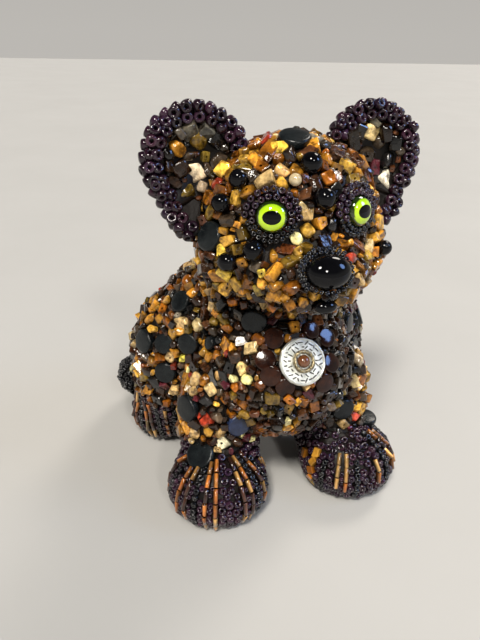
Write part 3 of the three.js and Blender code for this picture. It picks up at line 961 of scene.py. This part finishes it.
EYES_MIDDLE = np.array(sum((sum(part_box(f"{s}_eye"), Vector()) for s in ("left", "right")), Vector()))
EYES_MIDDLE = EYES_MIDDLE / 4 / MM


def head_mix(spot):
    return MUZZLE_MIX if spot[2] < EYES_MIDDLE[2] - 6 and spot[1] < EYES_MIDDLE[1] + 14 else FACE_MIX


def torso_mix(spot):
    """Smoky on the cub's left chest, brown under the medallion, golden elsewhere."""
    if spot[0] > EYES_MIDDLE[0] + 4 and spot[1] < 12 and spot[2] > 32:
        return CHEST_MIX
    return BELLY_MIX if spot[1] < -20 and spot[2] < 54 else BODY_MIX


# Coin beads that only Blender shows: place from an anchor, then radius. Each is then moved onto the skin.
# The anchors are middles of CAD boxes, to the nearest millimetre.
CHEST_ANCHOR = np.round(np.array(sum(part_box("medallion_disc"), Vector())) / 2 / MM) * [0, 1, 1]
CHEST_COINS = [
    ((-13.3, 2, 2.4), 3.9), ((-12.5, -1.5, -3), 3.9), ((-9.1, 5, 8.6), 3.9), ((-7.2, -4.6, -6.6), 3.7),
    ((9.2, -5, -7.8), 3.8), ((13.2, -1, -1.2), 3.8), ((6.6, 5.3, 10), 3.4), ((13, 5, 6), 3.7),
]
SIDE_ANCHOR = np.round(FIGURE_MIDDLE["body"])
SIDE_COINS = [((37, -29, -34), 4.6), ((-28.4, -17.7, 5), 2.6), ((-1, 52, 2), 4.1),
              ((-20, 50, -13), 3.8), ((17, 50, -10), 3.6), ((3, 32, 58), 3.4), ((-15, 40, 22), 3.3)]
# Coins of the cub's right side that are repeated on its left, which the photo doesn't show.
MIRRORED_COINS = ["shoulder_coin", "back_coin", "haunch_coin_front", "haunch_coin_low",
                  "haunch_coin_side"]
MANY = 100000           # more than fit, so such a stage goes on until the skin is full
# Stages of a scatter, each a radius and the most beads that go in.
PAW_STAGES = [(1.55, MANY), (1.2, MANY), (0.9, MANY)]
TIP_STAGES = [(1.15, MANY), (0.8, MANY)]
EAR_STAGES = [(3.0, 18), (2.4, 40), (1.7, MANY), (1.1, MANY)]
BODY_STAGES = [(2.6, 50), (2.2, 260), (1.8, MANY), (1.3, MANY), (0.9, MANY)]


# ---------------------------------------------------------------- glass seed beads
def seeds(node, stages, colour, shape):
    places, facing = candidates(node)
    beads = []
    for i, radius in scatter(places, stages, pack=0.97):
        spot, normal = places[i], facing[i]
        basis = basis_on(normal, tilt=0.3)
        size = radius * draw.uniform(0.95, 1.06)
        beads.append(Bead(shape, basis, spot - normal * (0.64 * size - 0.1), [size] * 3,
                          varied(colour, 0.3)))
    return beads


def touch(origin, direction):
    """Where a ray from outside first meets the figure: place, normal and CAD node."""
    spot, normal, index, _ = TREE.ray_cast(Vector(origin), Vector(direction))
    return (None, None, None) if spot is None else (np.array(spot), np.array(normal), OWNER[index])


EAR_OUTSIDE, PAW_OUTSIDE = 60, 70       # rays at an ear or a paw start this far from its middle
EAR_BEAD = 1.95
EAR_SPINE = 4.4         # the rows lean round a line this far inside the ear's edge
EAR_ROWS = [-100, -52, -4, 44, 92]      # how far each row leans to the front, in degrees


def ear_rows(side):
    """Rows of large seed beads round an ear's rim, from its front to its back."""
    rim_node = f"{side}_ear_rim_beads"
    verts = SOLIDS[rim_node][0]
    low, high = verts.min(axis=0), verts.max(axis=0)
    middle = (low + high) / 2
    flat = np.linalg.svd(verts - verts.mean(axis=0), full_matrices=False)[2][2]
    flat = flat if flat[1] < 0 else -flat
    across = np.cross([0, 0, 1.0], flat)
    across /= np.linalg.norm(across)
    rise = np.cross(flat, across)
    beads = []
    for row, lean in enumerate(np.radians(EAR_ROWS)):
        last = None
        for turn in np.radians(np.arange(-180 + 4 * row, 180 + 4 * row, 0.5)):
            way = across * math.cos(turn) + rise * math.sin(turn)
            edge_spot, _, owner = touch(middle + way * EAR_OUTSIDE, -way)
            if edge_spot is None or owner != rim_node:
                continue
            spine = edge_spot - way * EAR_SPINE
            lift = way * math.cos(lean) + flat * math.sin(lean)
            spot, normal, owner = touch(spine + lift * 14, -lift)
            if owner != rim_node or not is_open(spot, normal):
                continue
            if last is not None and np.linalg.norm(spot - last) < 2 * EAR_BEAD * 0.99:
                continue
            last = spot
            basis = basis_on(normal, tilt=0.3)
            size = EAR_BEAD * draw.uniform(0.94, 1.05)
            beads.append(Bead(SEED, basis, spot - normal * 0.5, [size] * 3,
                              varied(GLASS["purple"], 0.35)))
            take(spot, EAR_BEAD)
    return beads


# How long one bead of a stripe is, with its gap.
STRIPE_STEP = {"bugle": 5.2, "black": 2.5, "gold": 3.6}
# A stripe: degrees from straight ahead, bead kind, and where it starts and stops, as the height in
# degrees seen from the paw's middle. Without these it runs from the wrist to the ground.
WRIST, SOLE = 66, -12
STRIPE_MIDDLE = 5.0     # height of the middle that the stripes are seen from
STRIPES = {
    "right_front": [(-88, "bugle"), (-76, "black"), (-58, "bugle"), (-48, "bugle"), (-38, "black"),
                    (-27, "bugle"), (-17, "bugle"), (12, "bugle"), (22, "bugle"), (32, "black"),
                    (42, "bugle"), (54, "black"), (72, "bugle")],
    "left_front": [(-80, "gold", 40, 4), (-62, "gold", 44, SOLE), (-46, "black", 36, SOLE),
                   (-29, "bugle", 46, 4), (-20, "bugle", 46, 6), (-8, "black", 40, SOLE),
                   (16, "bugle", 36, 6), (30, "black"), (42, "bugle", 62, 12), (52, "bugle", 58, 14),
                   (72, "black")],
    "right_hind": [(-96, "bugle"), (-84, "bugle"), (-72, "black"), (-58, "bugle"), (-47, "bugle"),
                   (-34, "black"), (-20, "bugle"), (-8, "black"), (6, "bugle"), (40, "black")],
    "left_hind": [(-40, "black"), (-6, "bugle"), (8, "black"), (20, "bugle"), (31, "bugle"),
                  (46, "black"), (58, "bugle"), (69, "bugle"), (84, "black"), (96, "bugle")],
}


def toe_stripes(node_name, stripes):
    """Columns of bugle and seed beads that run over a paw from its top down to the ground."""
    low, high = (np.array(v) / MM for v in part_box(node_name))
    middle = (low + high) / 2
    middle[2] = STRIPE_MIDDLE
    beads = []
    for angle, kind, *reach in stripes:
        top, foot = reach or (WRIST, SOLE)
        turn = math.radians(angle)
        ahead = np.array([math.sin(turn), -math.cos(turn), 0.0])
        trail = []
        for lift in np.radians(np.arange(top, foot, -1.0)):
            way = ahead * math.cos(lift) + np.array([0, 0, 1.0]) * math.sin(lift)
            spot, normal, owner = touch(middle + way * PAW_OUTSIDE, -way)
            if owner == node_name and spot[2] > 1.6 and is_open(spot, normal):
                trail.append((spot, normal))
        step = STRIPE_STEP[kind] * draw.uniform(0.85, 1.1)
        k = 0
        while k < len(trail) - 1:
            start, normal = trail[k]
            end = k
            while end < len(trail) - 1 and np.linalg.norm(trail[end][0] - start) < step:
                end += 1
            stop = trail[end][0]
            length = np.linalg.norm(stop - start)
            if length < 0.6 * step:
                break
            normal = trail[(k + end) // 2][1]
            middle_spot = (start + stop) / 2 + normal * 0.1
            if kind == "bugle":
                basis = basis_on(normal, along=stop - start, tilt=0.09)
                colour = GLASS[draw.choice(["topaz", "straw", "brown"], p=[0.44, 0.26, 0.30])]
                beads.append(Bead(BUGLE, basis, middle_spot, [length / 2 * 0.95, 0.95, 0.95],
                                  varied(colour, 0.4)))
                for share in (0.2, 0.5, 0.8):
                    take(start + (stop - start) * share, 0.75)
            elif kind == "gold":
                basis = basis_on(normal, tilt=0.2)
                colour = STONE[draw.choice(["gold", "honey", "amber"])]
                beads.append(Bead(CHIPS[0], basis, middle_spot - normal * 0.4, [1.9, 1.5, 1.2],
                                  varied(colour), jitter=0.35))
                take(middle_spot, 1.6)
            else:
                basis = basis_on(normal, tilt=0.25)
                beads.append(Bead(SEED, basis, middle_spot - normal * 0.4, [1.25] * 3,
                                  varied(GLASS["black"], 0.3)))
                take(middle_spot, 1.1)
            k = end
    return beads


# ---------------------------------------------------------------- stage
def direction(azimuth, elevation):
    """The way from the figure towards a place round it, in degrees."""
    a, e = math.radians(azimuth), math.radians(elevation)
    return Vector((math.sin(a) * math.cos(e), -math.cos(a) * math.cos(e), math.sin(e)))


def add_stage():
    bpy.ops.mesh.primitive_plane_add(size=FLOOR_SIZE * MM)
    floor = bpy.context.object
    floor.name = "floor"
    floor.data.materials.append(noisy_material("floor_paint", FLOOR_DARK, FLOOR_PALE, 0.6, 6.0, 0.02))
    add_world()
    for name, (azimuth, elevation, width, strength, colour, role) in LIGHTS.items():
        lamp = bpy.data.lights.new(name, "SUN")
        lamp.energy = strength
        lamp.angle = math.radians(width)
        lamp.color = colour
        light = bpy.data.objects.new(name, lamp)
        light.visible_glossy = role != "surfaces"
        light.visible_diffuse = role != "reflections"
        light.rotation_mode = "QUATERNION"
        light.rotation_quaternion = direction(azimuth, elevation).to_track_quat("Z", "Y")
        bpy.context.scene.collection.objects.link(light)


def add_world():
    """Pale at the horizon and darker overhead, so that black glass stays black."""
    world = bpy.data.worlds.new("studio")
    bpy.context.scene.world = world
    world.use_nodes = True
    nodes, links = world.node_tree.nodes, world.node_tree.links
    where = nodes.new("ShaderNodeTexCoord")
    split = nodes.new("ShaderNodeSeparateXYZ")
    ramp = nodes.new("ShaderNodeValToRGB")
    ramp.color_ramp.elements.new(0.3)
    for stop, (height, colour) in zip(ramp.color_ramp.elements, SKY):
        stop.position = height
        stop.color = (*colour, 1)
    links.new(where.outputs["Generated"], split.inputs["Vector"])
    links.new(split.outputs["Z"], ramp.inputs["Fac"])
    links.new(ramp.outputs["Color"], nodes["Background"].inputs["Color"])
    bpy.context.scene.view_settings.view_transform = "Standard"


def add_camera():
    a, r = math.radians(CAMERA_AZIMUTH), math.radians(CAMERA_ROLL)
    back = direction(CAMERA_AZIMUTH, CAMERA_ELEVATION)
    right = Vector((math.cos(a), math.sin(a), 0))
    up = back.cross(right)
    across = right * math.cos(r) + up * math.sin(r)
    rise = up * math.cos(r) - right * math.sin(r)
    camera = bpy.data.objects.new("camera", bpy.data.cameras.new("camera"))
    camera.data.lens = CAMERA_LENS
    camera.data.clip_start, camera.data.clip_end = 0.01, 50
    turn = Matrix((across, rise, back)).transposed().to_4x4()
    camera.matrix_world = Matrix.Translation((Vector(CAMERA_AIM) + back * CAMERA_DISTANCE) * MM) @ turn
    bpy.context.scene.collection.objects.link(camera)
    bpy.context.scene.camera = camera


# ---------------------------------------------------------------- the figure
add_camera()
add_stage()

for name in sorted(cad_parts):
    if name.endswith("_core"):
        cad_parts[name].data.materials.clear()
        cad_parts[name].data.materials.append(WOOD)

SKIN_SLOTS = {
    "head_mosaic": "gold_stone", "torso_mosaic": "gold_stone", "tail_mosaic": "gold_stone",
    "tail_tip_beads": "black_glass",
}
for side in ("left", "right"):
    for limb in ("front", "hind"):
        SKIN_SLOTS[f"{side}_{limb}_leg_mosaic"] = "gold_stone"
        SKIN_SLOTS[f"{side}_{limb}_paw_beads"] = "purple_glass"
    SKIN_SLOTS[f"{side}_ear_rim_beads"] = "purple_glass"
    SKIN_SLOTS[f"{side}_ear_front_mosaic"] = "grey_stone"
    SKIN_SLOTS[f"{side}_ear_back_mosaic"] = "gold_stone"
for name, slot in SKIN_SLOTS.items():
    sunk_skin(name, slot)

for side in ("left", "right"):
    eye(f"{side}_eye", f"{side}_eye_bead_ring")
nose_seat = nose()
mouth(nose_seat)
medallion()
for i in range(1, 8):
    face_bead(f"black_face_bead_{i}", JET, "black_glass")
face_bead("cream_face_bead", CREAM, "cream_stone")
for name in ("cheek_coin", "crown_coin"):
    coin(name, COIN_GLASS, inside="head")
for name in ("neck_coin", "shoulder_coin", "back_coin", "haunch_coin_front", "haunch_coin_low",
             "haunch_coin_side", "elbow_coin", "right_wrist_coin", "left_leg_coin"):
    coin(name, COIN_GLASS)
coin("right_leg_coin", BLUE_COIN)

for i, (near, radius) in enumerate(CHEST_COINS, 1):
    near = np.round(CHEST_ANCHOR + near, 1) + [EYES_MIDDLE[0], 0, 0]
    loose_coin(f"chest_coin_{i}", near, radius, BROWN_COIN, "amber_stone")
for i, (near, radius) in enumerate(SIDE_COINS, 1):
    loose_coin(f"side_coin_{i}", np.round(SIDE_ANCHOR + near, 1), radius, COIN_GLASS, "black_glass")
for name in MIRRORED_COINS:
    seat = Seat(name)
    near = seat.middle * [-1, 1, 1] + [2 * FIGURE_MIDDLE["body"][0], 0, 0]
    loose_coin(f"left_{name}", near, seat.radius, COIN_GLASS, "black_glass")

for side in ("left", "right"):
    place_beads(f"{side}_ear_rim_seeds", ear_rows(side), GLASS_BEADS, "purple_glass",
                f"{side}_ear_rim_beads")
    for limb in ("front", "hind"):
        stripes = STRIPES[f"{side}_{limb}"]
        paw = f"{side}_{limb}_paw_beads"
        place_beads(f"{side}_{limb}_toe_stripes", toe_stripes(paw, stripes), GLASS_BEADS,
                    "amber_stone", paw)
        place_beads(f"{side}_{limb}_paw_seeds",
                    seeds(paw, PAW_STAGES, GLASS["purple"], SEED), GLASS_BEADS, "purple_glass", paw)
    for face in ("front", "back"):
        place_chips(f"{side}_ear_{face}_chips", f"{side}_ear_{face}_mosaic", EAR_STAGES,
                    lambda spot: EAR_MIX, "grey_stone", 0.3)
place_beads("tail_tip_seeds", seeds("tail_tip_beads", TIP_STAGES, GLASS["black"], SMALL_SEED),
            GLASS_BEADS, "black_glass", "tail_tip_beads", most=200)

place_chips("head_chips", "head_mosaic", BODY_STAGES, head_mix)
place_chips("torso_chips", "torso_mosaic", BODY_STAGES, torso_mix)
for side in ("left", "right"):
    for limb, mix in (("front", LEG_MIX), ("hind", BODY_MIX)):
        place_chips(f"{side}_{limb}_leg_chips", f"{side}_{limb}_leg_mosaic", BODY_STAGES,
                    lambda spot: mix)
place_chips("tail_chips", "tail_mosaic", BODY_STAGES, lambda spot: BODY_MIX)
